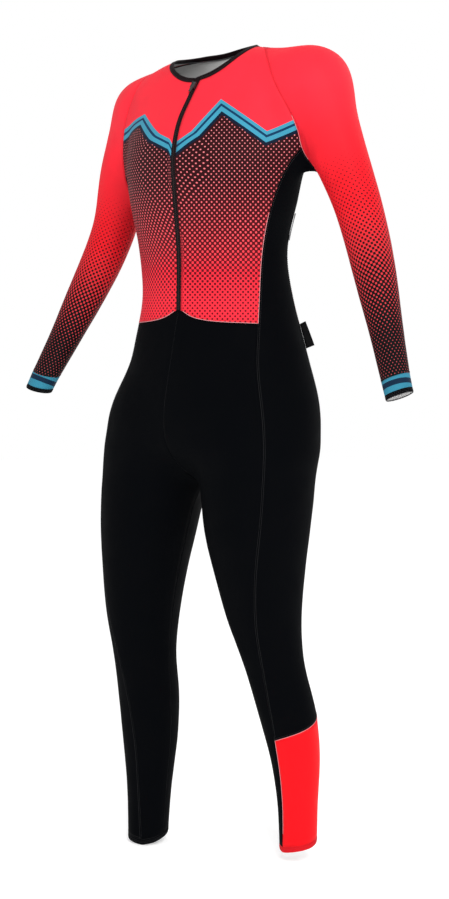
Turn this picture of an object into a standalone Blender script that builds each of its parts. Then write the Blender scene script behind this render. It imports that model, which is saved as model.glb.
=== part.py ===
"""A long-sleeved, full-leg cycling suit, filled out as it is worn, with nobody in it.

Metres, +Z up. The front faces -Y and the wearer's left is +X. The origin is the middle of the neck
opening, where a wearer's shoulders carry the suit. A smooth general figure gives the worn form. Each
sewn piece is a thin wall on that form, bounded by its own seams.
"""
import math

import bpy
import numpy as np

WALL = 0.0015
SEAM_GAP = 0.0003
BINDING_WALL = 0.0024
BINDING_WIDTH = 0.008
ZIP_HALF = 0.0045
ZIP_WALL = 0.0022
CUFF_BAND = 0.023
CUFF_HEM = 0.007
ANKLE_HEM = 0.009
PROBE = 0.0005

DOWN = (0.0, 0.0, -1.0)
# Two pieces that share a seam split their edge faces the same way, by this direction.
EDGE_ORDER = (0.31, 0.22, 0.93)
LEFT, RIGHT = 1, -1
NAMES = {LEFT: "left", RIGHT: "right"}

# The figure's sections. Each row: distance along the limb, shift across, shift in depth,
# half width, half depth on the low side of the depth axis, half depth on the high side.
TRUNK = (
    # down, to the left, to the front, half width, behind, in front
    (0.05, 0.005, 0.000, 0.140, 0.078, 0.072),
    (0.12, 0.003, 0.005, 0.162, 0.092, 0.108),
    (0.18, 0.000, 0.010, 0.166, 0.094, 0.124),
    (0.24, -0.005, 0.008, 0.157, 0.090, 0.118),
    (0.33, -0.014, 0.000, 0.137, 0.085, 0.100),
    (0.41, -0.006, 0.000, 0.139, 0.095, 0.102),
    (0.48, -0.004, 0.000, 0.158, 0.108, 0.108),
    (0.56, -0.005, 0.000, 0.178, 0.122, 0.110),
    (0.64, -0.015, 0.000, 0.187, 0.118, 0.102),
)
LEGS = {
    # down, to the left, to the front, half width, behind, in front
    LEFT: (
        (0.62, 0.074, 0.000, 0.090, 0.095, 0.088),
        (0.70, 0.076, 0.000, 0.094, 0.098, 0.093),
        (0.78, 0.075, 0.000, 0.088, 0.092, 0.090),
        (0.86, 0.077, -0.006, 0.074, 0.077, 0.076),
        (0.94, 0.081, -0.016, 0.061, 0.061, 0.063),
        (1.01, 0.091, -0.028, 0.051, 0.051, 0.051),
        (1.09, 0.105, -0.042, 0.049, 0.056, 0.045),
        (1.17, 0.114, -0.054, 0.042, 0.047, 0.038),
        (1.24, 0.117, -0.058, 0.035, 0.036, 0.033),
        (1.34, 0.118, -0.060, 0.031, 0.032, 0.031),
    ),
    RIGHT: (
        (0.62, -0.126, 0.000, 0.090, 0.095, 0.088),
        (0.70, -0.142, 0.000, 0.091, 0.095, 0.090),
        (0.78, -0.154, 0.000, 0.085, 0.088, 0.086),
        (0.86, -0.165, 0.000, 0.074, 0.076, 0.075),
        (0.94, -0.170, 0.000, 0.064, 0.065, 0.066),
        (1.01, -0.167, 0.000, 0.055, 0.055, 0.056),
        (1.09, -0.165, -0.005, 0.053, 0.059, 0.049),
        (1.17, -0.164, -0.008, 0.048, 0.051, 0.044),
        (1.24, -0.162, -0.004, 0.040, 0.041, 0.038),
        (1.36, -0.162, 0.000, 0.034, 0.035, 0.034),
    ),
}
SHOULDERS = (
    # to the left, backwards, upwards, half depth, below, above
    (-0.160, 0.000, -0.084, 0.050, 0.044, 0.042),
    (-0.110, 0.000, -0.076, 0.055, 0.044, 0.038),
    (-0.060, 0.000, -0.067, 0.056, 0.040, 0.034),
    (0.000, 0.000, -0.059, 0.056, 0.040, 0.034),
    (0.060, 0.000, -0.051, 0.057, 0.044, 0.040),
    (0.120, 0.000, -0.055, 0.057, 0.045, 0.041),
    (0.185, 0.000, -0.064, 0.050, 0.044, 0.040),
)
NECK = (
    # up the neck, to the left, forwards, half width, behind, in front
    (-0.06, 0.0, 0.0, 0.060, 0.060, 0.060),
    (0.00, 0.0, 0.0, 0.055, 0.055, 0.056),
    (0.05, 0.0, 0.0, 0.053, 0.053, 0.053),
)
NECK_LEAN = (0.0, -0.25, 1.0)
SHOULDER_JOINT = {LEFT: (0.190, 0.005, -0.064), RIGHT: (-0.188, 0.030, -0.088)}
WRIST = {LEFT: (0.390, -0.060, -0.555), RIGHT: (-0.318, -0.100, -0.560)}
ELBOW_BACK = {LEFT: 0.020, RIGHT: 0.028}
ARM_ACROSS_RISE = 0.4
SLEEVE_BEND_DROP = 0.010
ELBOW_OUT = {LEFT: 0.002, RIGHT: -0.006}
ARM = (
    # share of the arm, share of the elbow's shift, radius
    (0.00, 0.00, 0.0490),
    (0.22, 0.30, 0.0450),
    (0.40, 1.00, 0.0385),
    (0.52, 1.00, 0.0365),
    (0.64, 0.80, 0.0335),
    (0.82, 0.40, 0.0265),
    (1.00, 0.00, 0.0225),
    (1.10, 0.00, 0.0220),
)
CAP_OF_TRUNK = 0.040
# How softly neighbouring forms run together.
BLEND_SHOULDERS, BLEND_NECK, BLEND_ARM, BLEND_LEGS, BLEND_HIP = 0.05, 0.03, 0.05, 0.065, 0.05

# Middle lines of the left and right half of the body: down, to the left, backwards.
HALF_AXIS = {
    LEFT: (
        (0.05, 0.040, 0.0), (0.20, 0.040, 0.0), (0.40, 0.035, 0.0), (0.55, 0.045, 0.0),
        (0.65, 0.065, 0.0), (0.75, 0.076, 0.0), (0.86, 0.077, 0.006), (0.94, 0.081, 0.016),
        (1.01, 0.091, 0.028), (1.09, 0.105, 0.042), (1.17, 0.114, 0.054), (1.24, 0.117, 0.058),
        (1.34, 0.118, 0.060),
    ),
    RIGHT: (
        (0.05, -0.040, 0.0), (0.20, -0.040, 0.0), (0.40, -0.047, 0.0), (0.55, -0.075, 0.0),
        (0.65, -0.115, 0.0), (0.75, -0.150, 0.0), (0.86, -0.165, 0.0), (0.94, -0.170, 0.0),
        (1.01, -0.167, 0.0), (1.09, -0.165, 0.005), (1.17, -0.164, 0.008), (1.24, -0.162, 0.004),
        (1.36, -0.162, 0.0),
    ),
}

# Seams. Angles are round the half's middle line: 0 outwards, -90 to the front, 90 to the back.
FRONT_SIDE_SEAM = (
    # down, degrees
    (0.15, -15), (0.20, -19), (0.25, -24), (0.33, -25), (0.39, -29), (0.45, -34), (0.50, -38),
    (0.59, -40), (0.70, -46), (0.80, -54), (0.90, -64), (1.00, -76), (1.10, -91), (1.15, -98),
    (1.24, -104), (1.36, -116),
)
BACK_SIDE_SEAM = (
    (0.15, 30), (0.25, 31), (0.35, 31), (0.45, 29), (0.55, 32), (0.70, 45), (0.90, 65),
    (1.10, 85), (1.36, 95),
)
ZIP_LINE = (
    # down, to the left
    (0.05, 0.014), (0.08, 0.011), (0.12, 0.006), (0.18, 0.009), (0.25, 0.004), (0.32, -0.007),
    (0.43, -0.006),
)
CENTRE_FRONT_X = ((0.42, -0.006), (0.51, -0.018), (0.60, -0.036), (0.75, -0.036))
WAIST_AT_ZIP, WAIST_AT_SIDE, WAIST_SAG = 0.424, 0.446, 0.010
# The sag is deepest nearer the zip than the side, and only the lowest rows have it.
SAG_SKEW, SAG_ONSET = 0.55, 6
BACK_SEAM_TOP = 0.150
CHEST_ROW = 0.165
CROTCH_CENTRE, SEAT_END = 0.600, 0.700
CALF_END = 1.13
HEM_DOWN = {LEFT: 1.316, RIGHT: 1.333}
HEM_TILT = 0.010
HEM_TILT_FROM = 1.05
ANKLE_TOP = (
    # degrees, down: the top edge of the left ankle panel, which rises to the back
    (-98, 1.147), (-38, 1.138), (-7, 1.127), (44, 1.116), (90, 1.105),
)
# How far above and below the panel's top edge the rows still follow it.
PANEL_RISE_REACH = 0.20

# The neck opening's edge, seen from a place below it: round from the left, then upwards.
NECK_CENTRE = (0.0, 0.0, -0.06)
NECK_EDGE = (
    # degrees round, degrees up
    (-90, 5), (-57, 12), (-29, 28), (1, 42), (38, 50), (90, 51), (128, 46), (150, 43), (180, 35),
    (218, 28), (245, 14), (270, 5), (300, 12),
)
NECK_FRONT_REACH = 0.075
RAGLAN_FRONT_AT_NECK, RAGLAN_BACK_AT_NECK = 20, 72
# Raglan seams from the neck to the side seam's top, from the shoulder joint drawn half way back to
# the body's middle plane, as (outwards, backwards, upwards).
RAGLAN_FRONT = ((-0.075, -0.030, 0.035), (-0.034, -0.050, -0.010), (-0.003, -0.044, -0.084))
SEAM_TOP_FRONT = (-0.005, -0.037, -0.107)
RAGLAN_BACK = ((-0.094, 0.045, 0.038), (-0.034, 0.055, -0.007), (-0.006, 0.050, -0.067))
SEAM_TOP_BACK = (-0.012, 0.045, -0.107)
RAGLAN_DEPTH_SHARE = 0.5
UNDERARM_ALONG = {LEFT: 0.138, RIGHT: 0.156}

RAGLAN_CELLS, ARMHOLE_CELLS, BODY_ROWS, FRONT_CELLS, BACK_HALF_CELLS = 7, 4, 13, 8, 8
HIP_ROWS, CROTCH_ROWS, LEG_ROWS, ANKLE_ROWS = 5, 4, 13, 6
ARM_ROWS, SLEEVE_QUARTER = 13, 4
LEG_FRONT_SPLIT = 4
QUARTER_TURN = 1.2
NECK_ROWS = 5
# Where the sleeve's middle line starts by the neck, outwards, backwards and up from the shoulder
# joint's height, and the share of its raglan rows that lie before the shoulder joint.
SLEEVE_START, SLEEVE_BEND = (0.075, 0.010, -0.005), 0.45

LABEL_LENGTH, LABEL_REACH, LABEL_THICK, LABEL_DOWN = 0.040, 0.014, 0.0012, 0.447
TAB_LENGTH, TAB_WIDTH, TAB_THICK, TAB_DOWN, TAB_ANGLE = 0.043, 0.018, 0.001, 0.268, 20
TAB_LIFT, TAB_RADIUS = 0.0009, 0.10
LABEL_FLARE, LABEL_RISE = 0.7, 0.002
RIM_LIFT, ZIP_LIFT = 0.0006, 0.0003

SLIDER_LENGTH, SLIDER_WIDTH, SLIDER_FLOOR, SLIDER_HEIGHT, EAR = 0.011, 0.0082, 0.0015, 0.0044, 0.0014
# The pull: a round barrel, and a plate whose faces meet the barrel at an angle of its circle.
PULL_LENGTH, PULL_BARREL, PULL_CLEAR, PULL_SET_BACK = 0.017, 0.0011, 0.0003, 0.0015
PULL_FLANK, PULL_LEAN = 33, 6
SLIDER_BELOW_BINDING = 0.003

MATERIALS = {
    # name: (red, green, blue, roughness, metallic)
    "red_cloth": (0.62, 0.03, 0.05, 0.55, 0.0),
    "black_cloth": (0.012, 0.012, 0.014, 0.6, 0.0),
    "cuff_cloth": (0.05, 0.30, 0.42, 0.55, 0.0),
    "label_cloth": (0.015, 0.015, 0.016, 0.7, 0.0),
    "reflective_tape": (0.5, 0.5, 0.52, 0.35, 0.1),
    "zip_tape": (0.015, 0.012, 0.013, 0.5, 0.0),
    "zip_metal": (0.02, 0.02, 0.022, 0.35, 0.7),
}


def unit(v):
    v = np.asarray(v, float)
    return v / np.linalg.norm(v, axis=-1, keepdims=True)


def blend(rows, at):
    """Values of a table at distances along it, on smooth curves through its rows."""
    table = np.array(rows, float)
    s, v = table[:, 0], table[:, 1:]
    slope = np.gradient(v, s, axis=0)
    at = np.clip(np.asarray(at, float), s[0], s[-1])
    i = np.clip(np.searchsorted(s, at, side="right") - 1, 0, len(s) - 2)
    h = (s[i + 1] - s[i])[..., None]
    f = (at - s[i])[..., None] / h
    near = (2 * f**3 - 3 * f**2 + 1) * v[i] + (f**3 - 2 * f**2 + f) * h * slope[i]
    far = (3 * f**2 - 2 * f**3) * v[i + 1] + (f**3 - f**2) * h * slope[i + 1]
    return near + far


class Limb:
    """Ellipses stacked along a straight axis."""

    def __init__(self, origin, along, across, rows, cap=None):
        self.origin, self.along = np.array(origin, float), unit(along)
        across = np.array(across, float)
        self.across = unit(across - self.along * (across @ self.along))
        self.depth = np.cross(self.along, self.across)
        self.rows, self.cap = rows, cap

    def field(self, points):
        """About how far each point is outside the limb, negative inside."""
        q = points - self.origin
        s = q @ self.along
        v = blend(self.rows, s)
        x, y = q @ self.across - v[..., 0], q @ self.depth - v[..., 1]
        half, depth = v[..., 2], np.where(y < 0, v[..., 3], v[..., 4])
        past = np.maximum(self.rows[0][0] - s, 0) + np.maximum(s - self.rows[-1][0], 0)
        cap = np.minimum(half, depth) if self.cap is None else self.cap
        k0 = np.sqrt((x / half) ** 2 + (y / depth) ** 2 + (past / cap) ** 2)
        k1 = np.sqrt((x / half**2) ** 2 + (y / depth**2) ** 2 + (past / cap**2) ** 2)
        return k0 * (k0 - 1) / np.maximum(k1, 1e-9)

    def middle(self, s):
        v = blend(self.rows, s)
        s = np.asarray(s, float)[..., None]
        return self.origin + s * self.along + v[..., :1] * self.across + v[..., 1:2] * self.depth


def arm(side):
    start, end = np.array(SHOULDER_JOINT[side]), np.array(WRIST[side])
    length = float(np.linalg.norm(end - start))
    rows = [
        (share * length, shift * ELBOW_OUT[side], -side * shift * ELBOW_BACK[side], r, r, r)
        for share, shift, r in ARM
    ]
    return Limb(start, end - start, (side, 0, ARM_ACROSS_RISE), rows)


ARMS = {side: arm(side) for side in (LEFT, RIGHT)}
LIMBS = {
    "trunk": Limb((0, 0, 0), DOWN, (1, 0, 0), TRUNK, CAP_OF_TRUNK),
    "shoulders": Limb((0, 0, 0), (1, 0, 0), (0, 1, 0), SHOULDERS),
    "neck": Limb((0, 0, 0), NECK_LEAN, (1, 0, 0), NECK),
    "left_leg": Limb((0, 0, 0), DOWN, (1, 0, 0), LEGS[LEFT]),
    "right_leg": Limb((0, 0, 0), DOWN, (1, 0, 0), LEGS[RIGHT]),
}


def join(a, b, soft):
    """The union of two forms, filled softly where they meet."""
    h = np.maximum(soft - np.abs(a - b), 0) / soft
    return np.minimum(a, b) - h * h * soft / 4


def figure(points):
    """About how far each point is outside the worn form."""
    body = join(LIMBS["trunk"].field(points), LIMBS["shoulders"].field(points), BLEND_SHOULDERS)
    body = join(body, LIMBS["neck"].field(points), BLEND_NECK)
    arms = np.minimum(ARMS[LEFT].field(points), ARMS[RIGHT].field(points))
    body = join(body, arms, BLEND_ARM)
    legs = join(LIMBS["left_leg"].field(points), LIMBS["right_leg"].field(points), BLEND_LEGS)
    return join(body, legs, BLEND_HIP)


def normals(points):
    """Outward directions of the form, by small steps along each axis."""
    steps = np.eye(3) * PROBE
    g = np.stack([figure(points + s) - figure(points - s) for s in steps], axis=-1)
    return unit(g)


def cast(centres, directions, reach=0.40, steps=80):
    """The first place where rays from inside the form leave it."""
    centres, directions = np.broadcast_arrays(np.asarray(centres, float), unit(directions))
    t = np.linspace(0, reach, steps)
    f = figure(centres[..., None, :] + directions[..., None, :] * t[:, None])
    out = f > 0
    first = np.where(out.any(-1), out.argmax(-1), steps - 1)
    low, high = t[np.maximum(first - 1, 0)], t[first]
    for _ in range(22):
        mid = (low + high) / 2
        inside = figure(centres + directions * mid[..., None]) < 0
        low, high = np.where(inside, mid, low), np.where(inside, high, mid)
    return centres + directions * ((low + high) / 2)[..., None]


def settle(points):
    """Points near the form, brought on to it."""
    for _ in range(6):
        points = points - figure(points)[..., None] * normals(points)
    return points


def arc(points, count):
    """Evenly spaced points on a smooth curve through a few, brought on to the form."""
    points = np.array(points, float)
    run = np.concatenate([[0], np.cumsum(np.linalg.norm(np.diff(points, axis=0), axis=1))])
    rows = [(s, *p) for s, p in zip(run, points)]
    fine = blend(rows, np.linspace(0, run[-1], 200))
    run = np.concatenate([[0], np.cumsum(np.linalg.norm(np.diff(fine, axis=0), axis=1))])
    even = np.linspace(0, run[-1], count)
    return settle(np.stack([np.interp(even, run, fine[:, k]) for k in range(3)], axis=1))


def turned(p0, c0, p1, c1, f):
    """Points of the form between two of its points, turning about middles inside it."""
    d0, d1 = p0 - c0, p1 - c1
    u0, u1 = unit(d0), unit(d1)
    angle = np.arccos(np.clip((u0 * u1).sum(-1, keepdims=True), -1, 1))
    angle = np.maximum(angle, 1e-5)
    way = np.sin((1 - f) * angle) * u0 + np.sin(f * angle) * u1
    return cast(c0 + (c1 - c0) * f, way)


def rows_through(lines, middles, cells):
    """A grid whose rows run from line to line over the form, with a few cells between each two."""
    columns = [lines[0]]
    for k, count in enumerate(cells):
        for j in range(1, count):
            columns.append(turned(lines[k], middles[k], lines[k + 1], middles[k + 1], j / count))
        columns.append(lines[k + 1])
    return np.stack(columns, axis=1)


def patch(top, bottom, left, right):
    """A grid of the form's points between four edges."""
    v = np.linspace(0, 1, len(left))[:, None, None]
    u = np.linspace(0, 1, len(top))[None, :, None]
    across = (1 - v) * top[None] + v * bottom[None]
    along = (1 - u) * left[:, None] + u * right[:, None]
    corners = (1 - v) * ((1 - u) * top[0] + u * top[-1]) + v * ((1 - u) * bottom[0] + u * bottom[-1])
    grid = settle(across + along - corners)
    grid[0], grid[-1], grid[:, 0], grid[:, -1] = top, bottom, left, right
    return grid


def half_middle(side, down):
    v = blend(HALF_AXIS[side], down)
    return np.stack([v[..., 0], v[..., 1], -np.asarray(down, float)], axis=-1)


def round_half(side, down, degrees):
    """Points of the form at a distance down and an angle round one half of the body."""
    down = np.asarray(down, float)
    turn = np.radians(np.broadcast_to(np.asarray(degrees, float), down.shape))
    way = np.stack([side * np.cos(turn), np.sin(turn), np.zeros_like(down)], axis=-1)
    return cast(half_middle(side, down), way)


def at_neck(degrees):
    """The neck opening's edge at angles round it: 0 at the left, 90 at the back."""
    turn, rise = np.radians(degrees), np.radians(blend(NECK_EDGE, degrees)[..., 0])
    way = np.stack([np.cos(turn) * np.cos(rise), np.sin(turn) * np.cos(rise), np.sin(rise)], axis=-1)
    return cast(np.array(NECK_CENTRE), way)


def below_edge(edge, drop, steps=4):
    """A line along the form, a distance below an edge that runs anticlockwise seen from above."""
    line = edge
    for _ in range(steps):
        along = unit(np.gradient(line, axis=0))
        line = settle(line + np.cross(normals(line), along) * -drop / steps)
    return line


def trimmed(grid, closed):
    """The grid with each free edge drawn back by half the seam gap, square to the edge."""
    out = grid.copy()
    edges = [(0, 1, 0), (-1, -2, 0)] + ([] if closed else [(0, 1, 1), (-1, -2, 1)])
    for at, inner, axis in edges:
        edge, next_in = np.take(grid, at, axis=axis), np.take(grid, inner, axis=axis)
        along = unit(np.gradient(edge, axis=0))
        way = next_in - edge
        way = unit(way - along * (way * along).sum(-1, keepdims=True))
        index = (at, slice(None)) if axis == 0 else (slice(None), at)
        out[index] += way * SEAM_GAP / 2
    return out


def material(name):
    if name not in bpy.data.materials:
        red, green, blue, rough, metal = MATERIALS[name]
        made = bpy.data.materials.new(name)
        made.use_nodes = True
        shader = made.node_tree.nodes["Principled BSDF"]
        shader.inputs["Base Color"].default_value = (red, green, blue, 1)
        shader.inputs["Roughness"].default_value = rough
        shader.inputs["Metallic"].default_value = metal
    return bpy.data.materials[name]


def add(name, points, faces, look, smooth=True, place=None):
    mesh = bpy.data.meshes.new(name)
    mesh.from_pydata([tuple(map(float, p)) for p in points], [], faces)
    mesh.validate()
    made = bpy.data.objects.new(name, mesh)
    bpy.context.scene.collection.objects.link(made)
    mesh.materials.append(material(look))
    if smooth:
        mesh.shade_smooth()
    if place is not None:
        made.location = place
    return made


def wall(name, grid, look, closed=False, thick=WALL, lift=0.0):
    """One sewn piece: a grid of the form's points, thickened inwards into one closed body."""
    out = normals(grid)
    grid = trimmed(grid, closed)
    facing = np.cross(grid[1:, :-1] - grid[:-1, :-1], grid[:-1, 1:] - grid[:-1, :-1])
    if (facing * out[:-1, :-1]).sum() < 0:
        grid, out = grid[:, ::-1], out[:, ::-1]
    rows, columns = grid.shape[:2]
    outer = (grid + out * lift).reshape(-1, 3)
    inner = (grid + out * (lift - thick)).reshape(-1, 3)
    shift, faces = rows * columns, []
    wide = columns if closed else columns - 1

    def at(r, c):
        return r * columns + c % columns

    flat = grid.reshape(-1, 3)
    for r in range(rows - 1):
        for c in range(wide):
            quad = (at(r, c), at(r + 1, c), at(r + 1, c + 1), at(r, c + 1))
            halfway = (flat[[quad[0], quad[1]]] + flat[[quad[2], quad[3]]]) / 2
            first = int(np.argmin(np.abs(figure(halfway))))
            for k in (1, 2):
                face = (quad[first], quad[(first + k) % 4], quad[(first + k + 1) % 4])
                faces.append(face)
                faces.append(tuple(shift + i for i in reversed(face)))
    rim = [(at(0, c), at(0, c + 1)) for c in range(wide)]
    rim += [(at(rows - 1, c + 1), at(rows - 1, c)) for c in range(wide)]
    if not closed:
        rim += [(at(r + 1, 0), at(r, 0)) for r in range(rows - 1)]
        rim += [(at(r, columns - 1), at(r + 1, columns - 1)) for r in range(rows - 1)]
    for a, b in rim:
        if (flat[a] - flat[b]) @ EDGE_ORDER > 0:
            faces += [(a, b, shift + b), (a, shift + b, shift + a)]
        else:
            faces += [(a, b, shift + a), (b, shift + b, shift + a)]
    return add(name, np.vstack([outer, inner]), faces, look)


def steps(start, end, count):
    return np.linspace(start, end, count + 1)


def joined(*stretches):
    """Lines that follow on from each other, with each shared point once."""
    return np.concatenate([s if k == 0 else s[1:] for k, s in enumerate(stretches)])


def neck_lines():
    """The edge of the neck opening and the seam below its binding, with the seam's stretches."""
    turn = math.degrees(math.atan2(ZIP_HALF, NECK_FRONT_REACH))
    zip_at = -90 + math.degrees(math.atan2(ZIP_LINE[0][1], NECK_FRONT_REACH))
    front, back = RAGLAN_FRONT_AT_NECK, RAGLAN_BACK_AT_NECK
    spans = [
        (LEFT, "front", zip_at + turn, front, FRONT_CELLS),
        (LEFT, "sleeve", front, back, 4 * SLEEVE_QUARTER),
        (0, "back", back, 180 - back, 2 * BACK_HALF_CELLS),
        (RIGHT, "sleeve", 180 - back, 180 - front, 4 * SLEEVE_QUARTER),
        (RIGHT, "front", 180 - front, 360 + zip_at - turn, FRONT_CELLS),
    ]
    angles = joined(*[steps(a, b, count) for _, _, a, b, count in spans])
    edge = at_neck(angles)
    seam = below_edge(edge, BINDING_WIDTH)
    stretches, at = {}, 0
    for side, what, _, _, count in spans:
        stretches[side, what] = seam[at:at + count + 1]
        at += count
    return edge, seam, stretches


def raglan(side, start, waypoints, top, underarm):
    """A seam from the neck over the shoulder to the side seam's top, and on to the underarm."""
    joint = np.array(SHOULDER_JOINT[side]) * (1, RAGLAN_DEPTH_SHARE, 1)
    flip = np.array((side, 1, 1))
    top = settle(joint + flip * np.array(top))
    way = [start] + [joint + flip * np.array(p) for p in waypoints] + [top]
    upper = arc(way, RAGLAN_CELLS + 1)
    upper[0] = start
    lower = arc([upper[-1], (upper[-1] + underarm) / 2, underarm], ARMHOLE_CELLS + 1)
    lower[0], lower[-1] = upper[-1], underarm
    return upper, lower


def hem_tilt(down, degrees):
    """How much further down the leg's rows lie in front, and less behind, near the hem."""
    share = np.clip((down - HEM_TILT_FROM) / (HEM_DOWN[LEFT] - HEM_TILT_FROM), 0, 1)
    return -HEM_TILT * share * np.sin(np.radians(degrees))


class Half:
    """The seams of one half of the suit, from the armhole to the hem."""

    def __init__(self, side, stretches):
        self.side = side
        limb = ARMS[side]
        self.underarm = cast(limb.middle(UNDERARM_ALONG[side]), -limb.across)
        self.front_upper, self.front_lower = raglan(
            side, stretches[side, "front"][-1 if side == LEFT else 0],
            RAGLAN_FRONT, SEAM_TOP_FRONT, self.underarm)
        back_start = stretches[side, "sleeve"][-1 if side == LEFT else 0]
        self.back_upper, self.back_lower = raglan(
            side, back_start, RAGLAN_BACK, SEAM_TOP_BACK, self.underarm)
        self.body_lines()
        self.leg_lines()

    def from_top(self, point, table, depths):
        """A side seam's points below the armhole, starting at its given top point."""
        line = round_half(self.side, depths, blend(table, depths)[..., 0])
        share = np.linspace(0, 1, len(depths))[:, None]
        ease = np.clip(1 - share * 3, 0, 1) ** 2
        line = settle(line + (point - line[0]) * ease)
        line[0] = point
        return line

    def body_lines(self):
        tops = [-self.front_upper[-1][2], -self.underarm[2], -self.back_upper[-1][2]]
        depths = [steps(top, WAIST_AT_SIDE, BODY_ROWS) for top in tops]
        self.front_seam = self.from_top(self.front_upper[-1], FRONT_SIDE_SEAM, depths[0])
        self.back_seam = self.from_top(self.back_upper[-1], BACK_SIDE_SEAM, depths[2])
        middle = [(d, (blend(FRONT_SIDE_SEAM, d)[0] + blend(BACK_SIDE_SEAM, d)[0]) / 2)
                  for d in depths[1]]
        self.side_middle = self.from_top(self.underarm, middle, depths[1])

    def leg_lines(self):
        """Rows of the leg from the waist, as distances down the outer seams."""
        side, bottom = self.side, HEM_DOWN[self.side] - ANKLE_HEM
        hip = steps(WAIST_AT_SIDE, CROTCH_CENTRE, HIP_ROWS)
        seat = steps(CROTCH_CENTRE, SEAT_END, CROTCH_ROWS)
        shin = steps(SEAT_END, CALF_END, LEG_ROWS)
        ankle = steps(CALF_END, bottom, ANKLE_ROWS)
        self.base = joined(hip, seat, shin, ankle)
        self.shin_row = HIP_ROWS + CROTCH_ROWS + LEG_ROWS
        front = blend(FRONT_SIDE_SEAM, self.base)[..., 0]
        back = blend(BACK_SIDE_SEAM, self.base)[..., 0]
        self.leg_front_seam = self.leg_line(front)
        self.leg_back_seam = self.leg_line(back)
        self.leg_side_middle = self.leg_line((front + back) / 2)
        self.leg_front_middle = self.leg_line((front - 180) / 2)
        self.leg_back_middle = self.leg_line((back + 180) / 2)
        self.inner_front, self.inner_back = self.inner_line(LEFT), self.inner_line(RIGHT)

    def row_depth(self, degrees):
        """Distances down of each row at an angle: the ankle panel's top edge rises to the back."""
        rise = blend(ANKLE_TOP, np.clip(degrees, -98, 90))[..., 0] - ANKLE_TOP[0][1]
        share = 1 - np.abs(self.base - CALF_END) / PANEL_RISE_REACH
        return self.base + rise * np.clip(share, 0, 1) + hem_tilt(self.base, degrees)

    def leg_line(self, degrees):
        return round_half(self.side, self.row_depth(degrees), degrees)

    def inner_line(self, face):
        """The centre front or back seam down to the crotch, then the inseam, row by row."""
        hip = np.linspace(WAIST_AT_ZIP if face == LEFT else WAIST_AT_SIDE, CROTCH_CENTRE,
                          HIP_ROWS + 1)
        x = blend(CENTRE_FRONT_X, hip)[..., 0]
        centre = np.stack([x, np.zeros_like(x), -hip], axis=-1)
        upper = cast(centre, (0, -face, 0))
        fan = np.radians(np.linspace(0, 90, CROTCH_ROWS + 1))
        ways = np.stack([np.zeros_like(fan), -face * np.cos(fan), -np.sin(fan)], axis=-1)
        seat = cast(np.broadcast_to(centre[-1], ways.shape), ways)
        rows = self.row_depth(np.full_like(self.base, 180.0))[HIP_ROWS + CROTCH_ROWS:]
        crotch = -seat[-1][2]
        below = crotch + (rows[1:] - rows[0]) * (rows[-1] - crotch) / (rows[-1] - rows[0])
        return np.vstack([upper, seat[1:], round_half(self.side, below, 180)])


def middles(side, line):
    """Places inside the body half at the heights of a line's points."""
    return half_middle(side, -line[:, 2])


def zip_lines(stretches):
    """The zip's two edges and its middle, with a row for each row of the front panels."""
    left_top, right_top = stretches[LEFT, "front"][0], stretches[RIGHT, "front"][-1]
    top = -left_top[2]
    down = joined(steps(top, CHEST_ROW, RAGLAN_CELLS), steps(CHEST_ROW, WAIST_AT_ZIP, BODY_ROWS))
    x = blend(ZIP_LINE, down)[..., 0]
    lines = []
    for shift in (-ZIP_HALF, 0.0, ZIP_HALF):
        centre = np.stack([x + shift, np.zeros_like(x), -down], axis=-1)
        lines.append(cast(centre, (0, -1, 0)))
    lines[0][0], lines[2][0] = right_top, left_top
    lines[1][0] = settle((right_top + left_top) / 2)
    return lines


def sagged(grid, depth):
    """The rows of a front panel, its lower ones hanging lower between zip and side."""
    rows, columns = grid.shape[:2]
    shape = np.sin(np.pi * np.linspace(0, 1, columns) ** SAG_SKEW)
    drop = (np.arange(rows) / (rows - 1)) ** SAG_ONSET
    out = grid.copy()
    out[..., 2] -= depth * drop[:, None] * shape[None, :]
    out[:, 1:-1] = settle(out[:, 1:-1])
    return out


def front_panel(side, half, stretches, zip_edge):
    seam, edge = half.front_seam, zip_edge[RAGLAN_CELLS:]
    lower = rows_through([edge, seam], [middles(side, edge), middles(side, seam)], [FRONT_CELLS])
    top = stretches[side, "front"]
    top = top if side == LEFT else top[::-1]
    upper = patch(top, lower[0], zip_edge[:RAGLAN_CELLS + 1], half.front_upper)
    return sagged(np.vstack([upper[:-1], lower]), WAIST_SAG)


def back_panel(halves, stretches):
    seams = {s: halves[s].back_seam for s in halves}
    down = steps(BACK_SEAM_TOP, WAIST_AT_SIDE, BODY_ROWS)
    x = blend(CENTRE_FRONT_X, down)[..., 0]
    centre = np.stack([x * np.clip(down / WAIST_AT_ZIP, 0, 1), np.zeros_like(x), -down], axis=-1)
    spine = cast(centre, (0, 1, 0))
    lower = rows_through([seams[LEFT], spine, seams[RIGHT]],
                         [middles(LEFT, seams[LEFT]), centre, middles(RIGHT, seams[RIGHT])],
                         [BACK_HALF_CELLS, BACK_HALF_CELLS])
    upper = patch(stretches[0, "back"], lower[0], halves[LEFT].back_upper, halves[RIGHT].back_upper)
    return np.vstack([upper[:-1], lower])


def side_panel(side, half, to_row):
    """The long panel from the armhole to the ankle panel or the hem."""
    front = joined(half.front_seam, half.leg_front_seam[:to_row + 1])
    middle = joined(half.side_middle, half.leg_side_middle[:to_row + 1])
    back = joined(half.back_seam, half.leg_back_seam[:to_row + 1])
    grid = rows_through([front, middle, back], [middles(side, k) for k in (front, middle, back)],
                        [ARMHOLE_CELLS, ARMHOLE_CELLS])
    grid[0] = joined(half.front_lower, half.back_lower[::-1])
    return grid


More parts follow.
